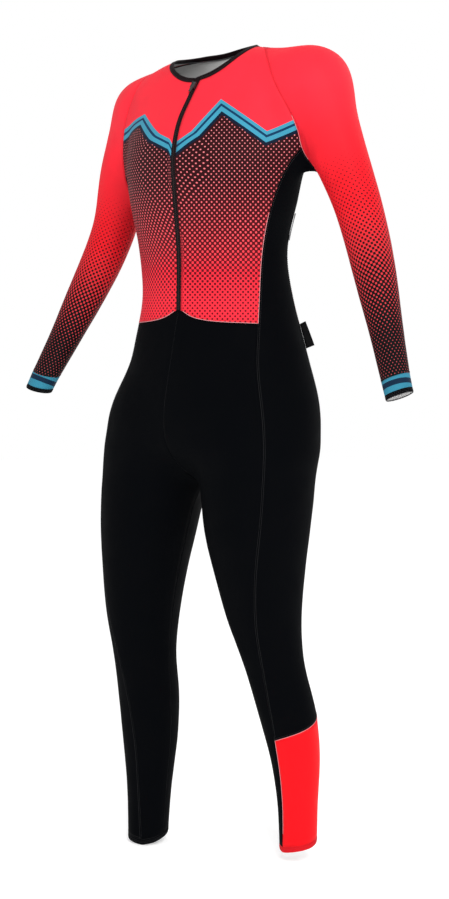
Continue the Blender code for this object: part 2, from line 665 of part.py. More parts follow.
def leg_grids(side, half, front_bottom, back_bottom, centre_front):
    front = rows_through([half.inner_front, half.leg_front_middle, half.leg_front_seam],
                         [middles(side, k) for k in
                          (half.inner_front, half.leg_front_middle, half.leg_front_seam)],
                         [LEG_FRONT_SPLIT, FRONT_CELLS + 1 - LEG_FRONT_SPLIT])
    front[0] = np.vstack([centre_front[None], front_bottom])
    back = rows_through([half.inner_back, half.leg_back_middle, half.leg_back_seam],
                        [middles(side, k) for k in
                         (half.inner_back, half.leg_back_middle, half.leg_back_seam)],
                        [LEG_FRONT_SPLIT, BACK_HALF_CELLS - LEG_FRONT_SPLIT])
    back[0] = back_bottom
    return front, back


def sleeve_grid(side, half, stretches):
    """The raglan sleeve: a cap between its two seams, then rings down to the cuff."""
    limb = ARMS[side]
    share = np.linspace(0, 1, RAGLAN_CELLS + ARMHOLE_CELLS + 1)
    rings = steps(UNDERARM_ALONG[side], arm_length(side) - CUFF_BAND - CUFF_HEM, ARM_ROWS)
    low = limb.middle(rings[0])
    joint = np.array(SHOULDER_JOINT[side])
    inner = (side * SLEEVE_START[0], SLEEVE_START[1], joint[2] + SLEEVE_START[2])
    centre = blend([(0.0, *inner), (SLEEVE_BEND, *(joint + (0, 0, -SLEEVE_BEND_DROP))), (1.0, *low)], share)
    centre = np.vstack([centre, limb.middle(rings[1:])])
    turn = np.concatenate([share, np.ones(ARM_ROWS)])[:, None]
    up = np.array((0.0, 0.0, 1.0))
    outwards = unit(up * (1 - turn) + limb.across * turn)
    under = cast(limb.middle(rings[1:]), -limb.across)
    front_seam = np.vstack([half.front_upper, half.front_lower[1:], under])
    back_seam = np.vstack([half.back_upper, half.back_lower[1:], under])
    ahead = np.array((0.0, -1.0, 0.0)) * QUARTER_TURN
    front, outer, back = (cast(centre, outwards + way) for way in (ahead, 0 * ahead, -ahead))
    lower = rows_through([front_seam, front, outer, back, back_seam], [centre] * 5,
                         [SLEEVE_QUARTER] * 4)[NECK_ROWS:]
    top = stretches[side, "sleeve"]
    top = top if side == LEFT else top[::-1]
    upper = patch(top, lower[0], front_seam[:NECK_ROWS + 1], back_seam[:NECK_ROWS + 1])
    return np.vstack([upper[:-1], lower])


def arm_length(side):
    return float(np.linalg.norm(np.subtract(WRIST[side], SHOULDER_JOINT[side])))


def cuff_rings(side, sleeve_end):
    """Rings of the cuff's band and hem below the sleeve's last row."""
    limb, length = ARMS[side], arm_length(side)
    start = sleeve_end[:-1]
    way = start - limb.middle(length - CUFF_BAND - CUFF_HEM)
    below = [cast(limb.middle(s), way) for s in (length - CUFF_HEM - CUFF_BAND / 2,
                                                 length - CUFF_HEM, length)]
    return np.stack([start, below[0], below[1]]), np.stack([below[1], below[2]])


def hem_ring(side, bottom_row):
    """The band round the ankle below the leg's last row."""
    below = bottom_row.copy()
    for k, p in enumerate(bottom_row):
        below[k] = p - (0, 0, ANKLE_HEM)
    return np.stack([bottom_row, settle((bottom_row + below) / 2), settle(below)])


def extruded(name, outline, origin, along, up, across, width, look):
    """A side outline in (along, up), given as width across, centred on the origin."""
    points, count = [], len(outline)
    for shift in (-width / 2, width / 2):
        points += [a * along + u * up + shift * across for a, u in outline]
    faces = [tuple(range(count)), tuple(reversed(range(count, 2 * count)))]
    faces += [(k, k + count, (k + 1) % count + count, (k + 1) % count) for k in range(count)]
    if np.dot(np.cross(along, up), across) > 0:
        faces = [tuple(reversed(f)) for f in faces]
    return add(name, points, faces, look, smooth=False, place=origin)


def zip_frame(zip_middle):
    """The slider's seat on the zip: its place, the way down the zip, outwards and across."""
    line = np.array(zip_middle)
    seat = settle(line[0] + unit(line[1] - line[0]) * (SLIDER_BELOW_BINDING + SLIDER_LENGTH / 2))
    out = normals(seat)
    down = unit(line[1] - line[0])
    down = unit(down - out * (down @ out))
    return seat, down, out, np.cross(down, out)


def make_slider(zip_middle):
    seat, down, out, across = zip_frame(zip_middle)
    base = ZIP_LIFT + SEAM_GAP
    half, high = SLIDER_WIDTH / 2, base + SLIDER_HEIGHT
    floor = base + SLIDER_FLOOR
    profile = [(-half, base), (half, base), (half, high), (half - EAR, high), (half - EAR, floor),
               (EAR - half, floor), (EAR - half, high), (-half, high)]
    extruded("zip_slider", profile, seat, across, out, down, SLIDER_LENGTH, "zip_metal")
    pivot_up = floor + PULL_CLEAR + PULL_BARREL
    pivot = seat - down * (SLIDER_LENGTH / 2 - PULL_SET_BACK) + out * pivot_up
    turns = np.radians(np.linspace(PULL_FLANK, 360 - PULL_FLANK, 13))
    profile = [(PULL_BARREL * math.cos(t), PULL_BARREL * math.sin(t)) for t in turns]
    half_thick = PULL_BARREL * math.sin(math.radians(PULL_FLANK))
    profile += [(PULL_LENGTH, -half_thick), (PULL_LENGTH, half_thick)]
    lean = math.radians(PULL_LEAN)
    along = down * math.cos(lean) + out * math.sin(lean)
    rise = out * math.cos(lean) - down * math.sin(lean)
    width = SLIDER_WIDTH - 2 * EAR - 2 * PULL_CLEAR
    extruded("zip_pull", profile, pivot, along, rise, across, width, "zip_metal")


def make_label(half):
    """A folded label that stands out of the back side seam at the left hip."""
    down = np.linspace(LABEL_DOWN, LABEL_DOWN + LABEL_LENGTH, 5)
    root = round_half(LEFT, down, blend(BACK_SIDE_SEAM, down)[..., 0])
    out = normals(root)
    flare = np.linspace(LABEL_FLARE, 1.0, 5)[:, None]
    near, rise = root + out * SEAM_GAP, np.array((0, 0, LABEL_RISE))
    columns = [near + (out * LABEL_REACH * flare + rise) * f for f in (0, 0.5, 1)]
    sheet = np.stack(columns, axis=1)
    side = unit(np.cross(out, (0, 0, 1.0)))[:, None, :] * LABEL_THICK / 2
    slab("side_label", sheet - side, sheet + side, "label_cloth")


def slab(name, low, high, look):
    """A closed body between two grids of the same size."""
    rows, columns = low.shape[:2]
    shift, faces = rows * columns, []

    def at(r, c):
        return r * columns + c

    for r in range(rows - 1):
        for c in range(columns - 1):
            quad = (at(r, c), at(r + 1, c), at(r + 1, c + 1), at(r, c + 1))
            faces += [quad, tuple(shift + k for k in reversed(quad))]
    rim = [at(0, c) for c in range(columns)] + [at(r, columns - 1) for r in range(1, rows)]
    rim += [at(rows - 1, c) for c in reversed(range(columns - 1))]
    rim += [at(r, 0) for r in reversed(range(1, rows - 1))]
    for a, b in zip(rim, rim[1:] + rim[:1]):
        faces.append((a, b, shift + b, shift + a))
    points = np.vstack([low.reshape(-1, 3), high.reshape(-1, 3)])
    normal = np.cross(low[1, 0] - low[0, 0], low[0, 1] - low[0, 0])
    if normal @ (high[0, 0] - low[0, 0]) > 0:
        faces = [tuple(reversed(f)) for f in faces]
    return add(name, points, faces, look)


def make_tab():
    """The reflective tab that lies on the left side behind the arm."""
    down = np.linspace(TAB_DOWN, TAB_DOWN + TAB_LENGTH, 5)
    columns = []
    for shift in (-0.5, 0.0, 0.5):
        degrees = TAB_ANGLE + math.degrees(TAB_WIDTH * shift / TAB_RADIUS)
        columns.append(round_half(LEFT, down, degrees))
    grid = np.stack(columns, axis=1)
    out = normals(grid)
    slab("reflective_tab", grid + out * TAB_LIFT, grid + out * (TAB_LIFT + TAB_THICK),
         "reflective_tape")


def build():
    for old in list(bpy.data.objects):
        bpy.data.objects.remove(old)
    edge, seam, stretches = neck_lines()
    wall("neck_binding", np.stack([edge, seam]), "black_cloth", thick=BINDING_WALL, lift=RIM_LIFT)
    right_edge, zip_middle, left_edge = zip_lines(stretches)
    zip_edges = {LEFT: left_edge, RIGHT: right_edge}
    top = np.stack([edge[-1], settle((edge[0] + edge[-1]) / 2), edge[0]])
    zip_grid = np.stack([right_edge, zip_middle, left_edge], axis=1)
    wall("zip_tape", np.vstack([top[None], zip_grid]), "zip_tape", thick=ZIP_WALL, lift=ZIP_LIFT)
    make_slider(zip_middle)
    halves = {side: Half(side, stretches) for side in (LEFT, RIGHT)}
    back = back_panel(halves, stretches)
    wall("back", back, "red_cloth")
    for side, half in halves.items():
        name = NAMES[side]
        front = front_panel(side, half, stretches, zip_edges[side])
        wall(f"front_{name}", front, "red_cloth")
        sleeve = sleeve_grid(side, half, stretches)
        wall(f"sleeve_{name}", sleeve, "red_cloth")
        band, hem = cuff_rings(side, sleeve[-1])
        wall(f"cuff_{name}", band, "cuff_cloth", closed=True)
        wall(f"cuff_hem_{name}", hem, "black_cloth", closed=True)
        last = len(half.base) - 1
        to_row = half.shin_row if side == LEFT else last
        whole = side_panel(side, half, last)
        split = len(whole) - 1 - (last - to_row)
        wall(f"side_{name}", whole[:split + 1], "black_cloth")
        if side == LEFT:
            wall("ankle_panel_left", whole[split:], "red_cloth")
        spine = BACK_HALF_CELLS
        back_bottom = back[-1][:spine + 1][::-1] if side == LEFT else back[-1][spine:]
        leg_front, leg_back = leg_grids(side, half, front[-1], back_bottom, zip_middle[-1])
        wall(f"leg_front_{name}", leg_front, "black_cloth")
        wall(f"leg_back_{name}", leg_back, "black_cloth")
        ring = np.concatenate([leg_front[-1], whole[-1][1:], leg_back[-1][::-1][1:-1]])
        look = "red_cloth" if side == LEFT else "black_cloth"
        wall(f"ankle_hem_{name}", hem_ring(side, ring), look, closed=True)
    make_label(halves[LEFT])
    make_tab()


build()
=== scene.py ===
import math
import bmesh
import bpy
import numpy as np
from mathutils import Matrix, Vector, noise
from mathutils.bvhtree import BVHTree


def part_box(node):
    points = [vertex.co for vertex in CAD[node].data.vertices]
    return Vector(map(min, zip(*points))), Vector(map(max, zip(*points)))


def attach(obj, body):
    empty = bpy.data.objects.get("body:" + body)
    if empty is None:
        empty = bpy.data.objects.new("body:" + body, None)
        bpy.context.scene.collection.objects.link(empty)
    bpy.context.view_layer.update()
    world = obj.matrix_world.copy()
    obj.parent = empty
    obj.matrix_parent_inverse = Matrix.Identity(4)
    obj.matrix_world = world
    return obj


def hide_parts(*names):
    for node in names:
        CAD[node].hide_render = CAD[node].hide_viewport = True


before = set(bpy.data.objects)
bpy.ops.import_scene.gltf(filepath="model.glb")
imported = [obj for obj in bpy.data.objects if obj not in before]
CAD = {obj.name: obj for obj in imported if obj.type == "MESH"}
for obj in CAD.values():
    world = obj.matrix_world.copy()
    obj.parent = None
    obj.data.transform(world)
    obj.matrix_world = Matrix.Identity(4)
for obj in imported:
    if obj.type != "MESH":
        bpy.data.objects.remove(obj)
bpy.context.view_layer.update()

# Camera and photograph
FRAME_WIDTH = 449
FRAME_HEIGHT = 899
AZIMUTH = math.radians(38)
ELEVATION = math.radians(4)
DISTANCE = 3.2
AIM = Vector((0.008, 0.0, -0.655))
LENS = 77.2
SENSOR = 36.0
TO_EYE = Vector((
    math.sin(AZIMUTH) * math.cos(ELEVATION),
    -math.cos(AZIMUTH) * math.cos(ELEVATION),
    math.sin(ELEVATION),
))
EYE = AIM + DISTANCE * TO_EYE

# Cloth sizes in metres
CLOTH = 0.0009
RIM_EDGE = 0.0020
SAME_POINT = 1e-6
SAME_PLACE = 1e-5
SUBDIVISIONS = 2
CORNER_TURN = math.radians(40)
FLAT_QUAD = math.radians(50)
EVEN_QUAD = math.radians(80)
BEAD = 0.0008
BEAD_SINK = 0.0009
EDGING_SINK = 0.0001
EDGING_INSET = 0.0004
WALE = 0.0011
COURSE = 0.0009
DOT_ACROSS = 0.0100
DOT_DOWN = 0.0086
FRONT_DEPTH = 0.12
WRAP = 0.7
ARM_DOTS = 28
STITCH_PITCH = 0.0030
STITCH_LENGTH = 0.0020
WRIST_LEVEL = -0.40
NECK_ROUND = 0.06
CLOTH_INSET = 0.0026
STILL_REACH = 0.010
STILL_BLEND = 0.022

# Arms run from the shoulder joint to the wrist
ARMS = {
    "left": (Vector((0.190, 0.005, -0.064)), Vector((0.390, -0.060, -0.555)), 0.020),
    "right": (Vector((-0.188, 0.030, -0.088)), Vector((-0.318, -0.100, -0.560)), 0.028),
}

# Colours in linear light
RED = (0.90, 0.024, 0.044, 1)
# Darker copy of the red for the sleeves below the shoulder: painted shade
SHADED_ARM_RED = (0.74, 0.008, 0.016, 1)
ANKLE_RED = (0.84, 0.0035, 0.009, 1)
DEEP_RED = (0.60, 0.0035, 0.009, 1)
PINK = (0.78, 0.22, 0.24, 1)
WRIST_DOT = (0.42, 0.060, 0.070, 1)
MAROON = (0.024, 0.0012, 0.003, 1)
DARK_DOT = (0.13, 0.002, 0.008, 1)
BLACK = (0.0008, 0.0011, 0.0018, 1)
ZIP_BLACK = (0.006, 0.0012, 0.0022, 1)
LIGHT_BLUE = (0.045, 0.29, 0.42, 1)
NAVY = (0.001, 0.035, 0.095, 1)
DARK_NAVY = (0.001, 0.008, 0.025, 1)
CUFF_BLUE = (0.030, 0.21, 0.31, 1)
CUFF_NAVY = (0.001, 0.016, 0.042, 1)
INSIDE = (0.84, 0.84, 0.83, 1)
RED_SHEEN = (1, 0.4, 0.4, 1)
LABEL_BLACK = (0.002, 0.002, 0.0024, 1)
LACQUER_DARK = (0.010, 0.010, 0.011, 1)
LACQUER_LIGHT = (0.03, 0.03, 0.032, 1)
SEAM_GREY = (0.035, 0.035, 0.038, 1)
REFLECTIVE = (0.16, 0.163, 0.17, 1)

TORSO = ("front_left", "front_right", "back")
SIDES = ("side_left", "side_right")
LEGS = ("leg_front_left", "leg_front_right", "leg_back_left", "leg_back_right")
SLEEVES = ("sleeve_left", "sleeve_right")
CUFFS = ("cuff_left", "cuff_right")
CUFF_HEMS = ("cuff_hem_left", "cuff_hem_right")
ANKLES = ("ankle_panel_left", "ankle_hem_left", "ankle_hem_right")
WALLS = TORSO + SIDES + LEGS + SLEEVES + CUFFS + CUFF_HEMS + ANKLES

# Each cut as assumed before it is stretched: width, length and area.
# The areas come from the worn pieces, with about a tenth of stretch taken off the large ones.
CUTS = {
    "back": (0.38, 0.46, 0.114),
    "front_left": (0.18, 0.44, 0.0620),
    "front_right": (0.18, 0.44, 0.0660),
    "sleeve_left": (0.34, 0.60, 0.120),
    "sleeve_right": (0.34, 0.60, 0.111),
    "cuff_left": (0.140, 0.023, 0.0030),
    "cuff_right": (0.145, 0.023, 0.0031),
    "cuff_hem_left": (0.14, 0.010, 0.0010),
    "cuff_hem_right": (0.14, 0.010, 0.0010),
    "side_left": (0.22, 0.98, 0.1166),
    "side_right": (0.22, 1.15, 0.1425),
    "ankle_panel_left": (0.13, 0.235, 0.0229),
    "leg_front_left": (0.20, 0.90, 0.1044),
    "leg_front_right": (0.20, 0.90, 0.1006),
    "leg_back_left": (0.21, 0.87, 0.1086),
    "leg_back_right": (0.21, 0.89, 0.1063),
    "ankle_hem_left": (0.21, 0.012, 0.0019),
    "ankle_hem_right": (0.21, 0.012, 0.0021),
    "neck_binding": (0.50, 0.012, 0.0052),
    "zip_tape": (0.36, 0.012, 0.0042),
    "side_label": (0.022, 0.030, 0.0006),
    "reflective_tab": (0.020, 0.045, 0.0008),
}


# Meshes
def mesh_object(name, mesh):
    thing = bpy.data.objects.new(name, mesh)
    bpy.context.scene.collection.objects.link(thing)
    return thing


def islands(mesh):
    found = []
    left = set(mesh.faces)
    while left:
        group = [left.pop()]
        for face in group:
            for edge in face.edges:
                for other in edge.link_faces:
                    if other in left:
                        left.remove(other)
                        group.append(other)
        found.append(group)
    return found


def cloth_skin(node):
    """The outer face of a node's wall in quads, without its rim."""
    mesh = bmesh.new()
    mesh.from_mesh(CAD[node].data)
    bmesh.ops.remove_doubles(mesh, verts=mesh.verts, dist=SAME_POINT)
    rim = [f for f in mesh.faces if min(e.calc_length() for e in f.edges) < RIM_EDGE]
    bmesh.ops.delete(mesh, geom=rim, context="FACES")
    parts = islands(mesh)
    parts.sort(key=lambda part: -sum(f.calc_area() for f in part))
    inner = [f for part in parts[1:] for f in part]
    bmesh.ops.delete(mesh, geom=inner, context="FACES")
    bmesh.ops.join_triangles(
        mesh,
        faces=mesh.faces,
        angle_face_threshold=FLAT_QUAD,
        angle_shape_threshold=EVEN_QUAD,
    )
    keep_corners(mesh)
    return mesh


def keep_corners(mesh):
    """Marks the corners of a cloth's edge, so that they aren't rounded off."""
    layer = mesh.verts.layers.float.new("crease_vert")
    for corner in mesh.verts:
        rims = [edge for edge in corner.link_edges if edge.is_boundary]
        if len(rims) != 2:
            continue
        first, second = (edge.other_vert(corner).co - corner.co for edge in rims)
        if first.angle(-second, 0) > CORNER_TURN:
            corner[layer] = 1.0


def whole_solid(node):
    mesh = bmesh.new()
    mesh.from_mesh(CAD[node].data)
    bmesh.ops.remove_doubles(mesh, verts=mesh.verts, dist=SAME_POINT)
    bmesh.ops.join_triangles(
        mesh,
        faces=mesh.faces,
        angle_face_threshold=FLAT_QUAD,
        angle_shape_threshold=EVEN_QUAD,
    )
    return mesh


def smooth_object(name, source, levels, crease_angle=None, sharpness=0.55):
    """A subdivided object from a bmesh, with the modifier applied."""
    if crease_angle is not None:
        layer = source.edges.layers.float.new("crease_edge")
        for edge in source.edges:
            if len(edge.link_faces) == 2 and edge.calc_face_angle() > crease_angle:
                edge[layer] = sharpness
    coarse = bpy.data.meshes.new(name + "_coarse")
    source.to_mesh(coarse)
    source.free()
    holder = mesh_object(name + "_coarse", coarse)
    rounder = holder.modifiers.new("round", "SUBSURF")
    rounder.levels = levels
    rounder.render_levels = levels
    rounder.boundary_smooth = "PRESERVE_CORNERS"
    rounder.use_limit_surface = False
    depsgraph = bpy.context.evaluated_depsgraph_get()
    fine = bpy.data.meshes.new_from_object(holder.evaluated_get(depsgraph))
    fine.name = name
    bpy.data.objects.remove(holder)
    bpy.data.meshes.remove(coarse)
    fine.materials.clear()
    for polygon in fine.polygons:
        polygon.use_smooth = True
    return mesh_object(name, fine)


def points_of(thing):
    flat = np.empty(len(thing.data.vertices) * 3)
    thing.data.vertices.foreach_get("co", flat)
    return flat.reshape(-1, 3)


def normals_of(thing):
    flat = np.empty(len(thing.data.vertices) * 3)
    thing.data.vertex_normals.foreach_get("vector", flat)
    return flat.reshape(-1, 3)


def tree_of(things):
    points = []
    faces = []
    for thing in things:
        start = len(points)
        points.extend(v.co.copy() for v in thing.data.vertices)
        faces.extend([start + i for i in p.vertices] for p in thing.data.polygons)
    return BVHTree.FromPolygons(points, faces)


# Places on the cloth from the photograph's pixels
RIGHT = Vector((math.cos(AZIMUTH), math.sin(AZIMUTH), 0))
UP = TO_EYE.cross(RIGHT)


def seen_at(tree, across, down):
    """The point of the cloth that a pixel of the photograph shows."""
    size = SENSOR / LENS / FRAME_HEIGHT
    x = (across - FRAME_WIDTH / 2) * size
    y = (FRAME_HEIGHT / 2 - down) * size
    ray = (x * RIGHT + y * UP - TO_EYE).normalized()
    hit = tree.ray_cast(EYE, ray)[0]
    if hit is None:
        hit = tree.find_nearest(EYE + DISTANCE * ray)[0]
    return hit


# Folds
def fold_push(points, run, depth, width):
    """How far a soft trough with a ridge on each side moves each point outwards."""
    best = np.full(len(points), 1e9)
    along = np.zeros(len(points))
    lengths = [(b - a).length for a, b in zip(run, run[1:])]
    total = sum(lengths)
    before = 0.0
    for (a, b), length in zip(zip(run, run[1:]), lengths):
        start = np.array(a)
        step = np.array(b) - start
        t = np.clip((points - start) @ step / length ** 2, 0, 1)
        far = np.linalg.norm(points - start - t[:, None] * step, axis=1)
        near = far < best
        best[near] = far[near]
        along[near] = (before + t[near] * length) / total
        before += length
    taper = np.sin(np.pi * np.clip(along, 0.02, 0.98)) ** 0.8
    trough = np.exp(-(best / width) ** 2)
    ridge = np.exp(-((best - 1.8 * width) / width) ** 2)
    return depth * taper * (0.45 * ridge - trough)


# Folds that the photograph shows, by pixel, then depth and width
SEEN_FOLDS = (
    (((296, 126), (304, 144), (312, 163)), 0.0022, 0.0045),
    (((300, 150), (306, 166), (309, 176)), 0.0012, 0.0040),
    (((318, 150), (324, 166), (326, 182)), 0.0008, 0.0060),
    (((271, 496), (281, 499), (290, 498)), 0.0009, 0.0040),
    (((283, 812), (291, 808), (301, 802)), 0.0016, 0.0032),
    (((283, 826), (292, 822), (300, 815)), 0.0012, 0.0030),
    (((281, 840), (289, 839), (297, 834)), 0.0009, 0.0028),
    (((352, 262), (361, 268), (370, 270)), 0.0014, 0.0050),
    (((356, 276), (364, 283), (374, 284)), 0.0012, 0.0046),
    (((358, 292), (368, 297), (378, 296)), 0.0009, 0.0042),
    (((112, 246), (104, 256), (95, 260)), 0.0013, 0.0050),
    (((108, 262), (100, 270), (90, 273)), 0.0011, 0.0045),
    (((130, 178), (128, 190), (124, 204)), 0.0010, 0.0060),
    (((286, 150), (276, 160), (268, 176)), 0.0007, 0.0060),
    (((288, 168), (279, 182), (274, 196)), 0.0006, 0.0055),
    (((206, 540), (190, 530), (172, 512)), 0.0009, 0.0060),
    (((210, 532), (226, 520), (244, 506)), 0.0009, 0.0060),
    (((232, 640), (246, 646), (262, 646)), 0.0007, 0.0060),
    (((256, 668), (268, 676), (282, 676)), 0.0008, 0.0050),
    (((148, 642), (160, 648), (172, 648)), 0.0008, 0.0060),
    (((136, 812), (146, 818), (158, 817)), 0.0011, 0.0036),
    (((134, 826), (144, 832), (156, 830)), 0.0009, 0.0032),
)

# Similar folds on the sides that it doesn't show, by rough place
HIDDEN_FOLDS = (
    (((-0.215, 0.06, -0.13), (-0.190, 0.08, -0.17), (-0.165, 0.08, -0.21)), 0.0018, 0.0050),
    (((0.215, 0.05, -0.11), (0.185, 0.07, -0.15), (0.160, 0.08, -0.20)), 0.0019, 0.0050),
    (((0.185, 0.07, -0.10), (0.160, 0.09, -0.15), (0.145, 0.09, -0.19)), 0.0010, 0.0060),
    (((-0.30, 0.03, -0.33), (-0.27, 0.05, -0.34), (-0.24, 0.04, -0.33)), 0.0010, 0.0055),
    (((0.27, 0.04, -0.30), (0.30, 0.05, -0.31), (0.33, 0.04, -0.30)), 0.0010, 0.0055),
    (((-0.09, 0.10, -0.40), (-0.02, 0.11, -0.415), (0.06, 0.10, -0.405)), 0.0014, 0.0070),
    (((-0.07, 0.10, -0.43), (0.00, 0.11, -0.445), (0.07, 0.10, -0.43)), 0.0011, 0.0065),
    (((-0.11, 0.08, -0.37), (-0.06, 0.10, -0.385), (0.00, 0.11, -0.38)), 0.0008, 0.0070),
    (((-0.02, 0.12, -0.70), (0.03, 0.12, -0.73), (0.09, 0.11, -0.73)), 0.0013, 0.0060),
    (((-0.06, 0.12, -0.70), (-0.11, 0.11, -0.73), (-0.16, 0.09, -0.73)), 0.0013, 0.0060),
    (((0.05, 0.12, -0.935), (0.09, 0.12, -0.945), (0.13, 0.11, -0.935)), 0.0016, 0.0055),
    (((0.06, 0.12, -0.96), (0.10, 0.12, -0.972), (0.14, 0.11, -0.965)), 0.0013, 0.0050),
    (((-0.20, 0.07, -0.935), (-0.16, 0.08, -0.945), (-0.12, 0.07, -0.935)), 0.0016, 0.0055),
    (((-0.20, 0.07, -0.96), (-0.16, 0.08, -0.970), (-0.13, 0.07, -0.962)), 0.0012, 0.0050),
    (((0.09, 0.11, -1.27), (0.12, 0.12, -1.28), (0.15, 0.10, -1.272)), 0.0010, 0.0035),
    (((-0.19, 0.05, -1.26), (-0.16, 0.06, -1.27), (-0.13, 0.04, -1.262)), 0.0010, 0.0035),
)


def uneven(point):
    """Slow rises and dips of the cloth over the body."""
    slow = noise.noise(point * 11.0)
    quick = noise.noise(point * 38.0 + Vector((5.0, 2.0, 9.0)))
    return 0.00055 * slow + 0.00014 * quick


# Zip line, read from its own solid
def zip_line(count):
    """Points down the middle of the zip's face, with the way out of the cloth."""
    tape = CAD["zip_tape"].data
    low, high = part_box("zip_tape")
    tree = BVHTree.FromPolygons(
        [v.co.copy() for v in tape.vertices], [list(p.vertices) for p in tape.polygons]
    )
    found = []
    for i in range(count):
        level = high.z - 0.0012 + (low.z - high.z + 0.0024) * i / (count - 1)
        across = []
        for edge in tape.edges:
            a, b = (tape.vertices[j].co for j in edge.vertices)
            if (a.z - level) * (b.z - level) < 0:
                across.append(a.x + (b.x - a.x) * (level - a.z) / (b.z - a.z))
        if not across:
            continue
        middle = (min(across) + max(across)) / 2
        hit, out = tree.ray_cast(Vector((middle, -1, level)), Vector((0, 1, 0)))[:2]
        if hit is not None:
            found.append((hit, out))
    return found


# Pattern coordinates in metres
BACK_LOW, BACK_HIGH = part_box("back")
BACK_MIDDLE = (BACK_LOW.x + BACK_HIGH.x) / 2
BACK_HALF = 0.55 * (BACK_HIGH.x - BACK_LOW.x)


def arm_place(side, point):
    """How far round an arm, in turns, and how far along it a point is."""
    start, end, bow = ARMS[side]
    along = (end - start).normalized()
    length = (end - start).length
    v = (point - start).dot(along)
    share = min(max(v / length, 0), 1)
    middle = start + v * along + Vector((0, 4 * bow * share * (1 - share), 0))
    ahead = Vector((0, -1, 0))
    ahead = (ahead - ahead.dot(along) * along).normalized()
    aside = along.cross(ahead)
    arm = point - middle
    return math.atan2(arm.dot(aside), arm.dot(ahead)) / (2 * math.pi), v


def pattern_place(node, point):
    if node == "back":
        share = min(max((point.x - BACK_MIDDLE) / BACK_HALF, -0.99), 0.99)
        return BACK_HALF * math.asin(share), -point.z
    if node in TORSO:
        depth = FRONT_DEPTH - abs(point.y)
        return point.x + math.copysign(WRAP * depth, point.x), -point.z
    if node in SIDES:
        return point.y, -point.z
    if node in SLEEVES + CUFFS + CUFF_HEMS:
        turns, v = arm_place(node.rsplit("_", 1)[1], point)
        return turns * ARM_DOTS * DOT_ACROSS, v
    if node == "neck_binding":
        return math.atan2(point.x, -point.y) * NECK_ROUND, point.y + point.z
    if node in ("side_label", "reflective_tab"):
        return point.y, -point.z
    return point.x, -point.z


def lay_pattern(thing, node):
    """Writes the pattern coordinates, with no jump inside a face."""
    on_arm = node in SLEEVES + CUFFS + CUFF_HEMS
    is_round = on_arm or node == "neck_binding"
    around = ARM_DOTS * DOT_ACROSS if on_arm else NECK_ROUND * 2 * math.pi
    layer = thing.data.uv_layers.new(name="pattern")
    places = [pattern_place(node, v.co) for v in thing.data.vertices]
    for polygon in thing.data.polygons:
        corners = [places[i] for i in polygon.vertices]
        most = max(u for u, v in corners)
        wraps = most - min(u for u, v in corners) > around / 2
        for loop, (u, v) in zip(polygon.loop_indices, corners):
            if wraps and u < 0 and is_round:
                u += around
            layer.data[loop].uv = (u, v)


# Shader helpers
def number(tree, operation, a, b=None, c=None):
    node = tree.nodes.new("ShaderNodeMath")
    node.operation = operation
    for socket, value in zip(node.inputs, (a, b, c)):
        if value is None:
            continue
        if isinstance(value, (int, float)):
            socket.default_value = value
        else:
            tree.links.new(value, socket)
    return node.outputs[0]


def blend_colour(tree, share, first, second):
    node = tree.nodes.new("ShaderNodeMix")
    node.data_type = "RGBA"
    sockets = (node.inputs[0], node.inputs[6], node.inputs[7])
    for socket, value in zip(sockets, (share, first, second)):
        if isinstance(value, (int, float, tuple)):
            socket.default_value = value
        else:
            tree.links.new(value, socket)
    return node.outputs[2]


def remap(tree, value, low, high, to_low=0.0, to_high=1.0, smooth=False):
    node = tree.nodes.new("ShaderNodeMapRange")
    if smooth:
        node.interpolation_type = "SMOOTHSTEP"
    node.inputs["From Min"].default_value = low
    node.inputs["From Max"].default_value = high
    node.inputs["To Min"].default_value = to_low
    node.inputs["To Max"].default_value = to_high
    tree.links.new(value, node.inputs["Value"])
    return node.outputs[0]


def steps(tree, value, low, high, stops):
    """Even bands of colour along a length, with sharp edges."""
    ramp = tree.nodes.new("ShaderNodeValToRGB")
    ramp.color_ramp.interpolation = "CONSTANT"
    marks = ramp.color_ramp.elements
    while len(marks) < len(stops):
        marks.new(0.5)
    for mark, (place, colour) in zip(marks, stops):
        mark.position = (place - low) / (high - low)
        mark.color = colour
    tree.links.new(remap(tree, value, low, high), ramp.inputs[0])
    return ramp.outputs[0]


def halftone(tree, u, v, share):
    """1 on light ground: dots that grow until only dark dots are left between them."""
    across = number(tree, "COSINE", number(tree, "MULTIPLY", u, 2 * math.pi / DOT_ACROSS))
    down = number(tree, "COSINE", number(tree, "MULTIPLY", v, 2 * math.pi / DOT_DOWN))
    level = number(tree, "MULTIPLY_ADD", number(tree, "MULTIPLY", across, down), 0.5, 0.5)
    over = number(tree, "SUBTRACT", number(tree, "ADD", level, share), 1.0)
    return remap(tree, over, -0.05, 0.05, smooth=True)


